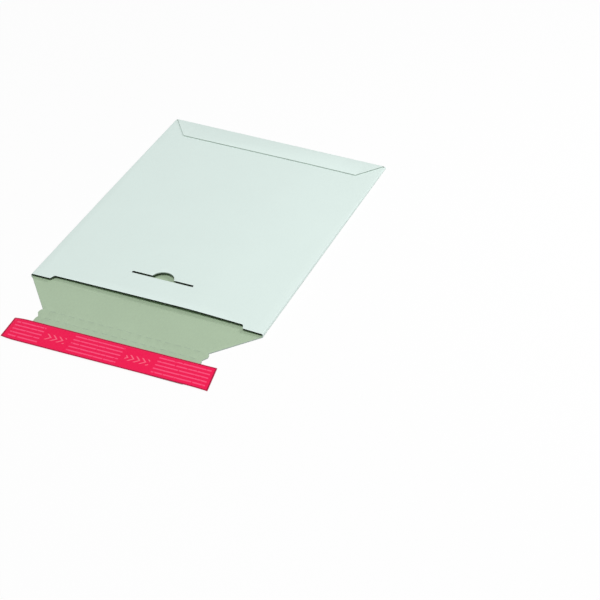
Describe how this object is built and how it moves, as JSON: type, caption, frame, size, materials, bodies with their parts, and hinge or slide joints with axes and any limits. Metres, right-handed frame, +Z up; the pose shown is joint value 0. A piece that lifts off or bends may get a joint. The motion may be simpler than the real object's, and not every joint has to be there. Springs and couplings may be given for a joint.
{
  "type": "rigid cardboard envelope",
  "caption": "Flat mailing envelope of stiff board with an open mouth, a slit with a thumb hole, and a tapered self-seal flap with a tear strip and a peel-off liner.",
  "frame": {"origin": "centre of the underside of the whole part's box, with the flap open flat", "axes": "+X across the mouth to the right, +Y from the mouth to the closed far end, +Z up out of the top panel"},
  "size_m": [0.245, 0.4224, 0.0071],
  "materials": {
    "board": "smooth white-lined board, matt",
    "board_inside": "uncoated grey-green board, matt",
    "adhesive": "clear hot-melt adhesive, tacky",
    "liner": "smooth red release film"
  },
  "bodies": {
    "envelope": {"envelope_body": "board"},
    "flap": {"closing_flap": "board_inside", "adhesive_strip": "adhesive", "release_liner": "liner"}
  },
  "joints": [
    {"name": "flap_crease", "type": "hinge", "parent": "envelope", "child": "flap", "pos_m": [0, -0.11391, 0.00445], "axis": [-1, 0, 0], "range_deg": [0, 179.5]}
  ]
}
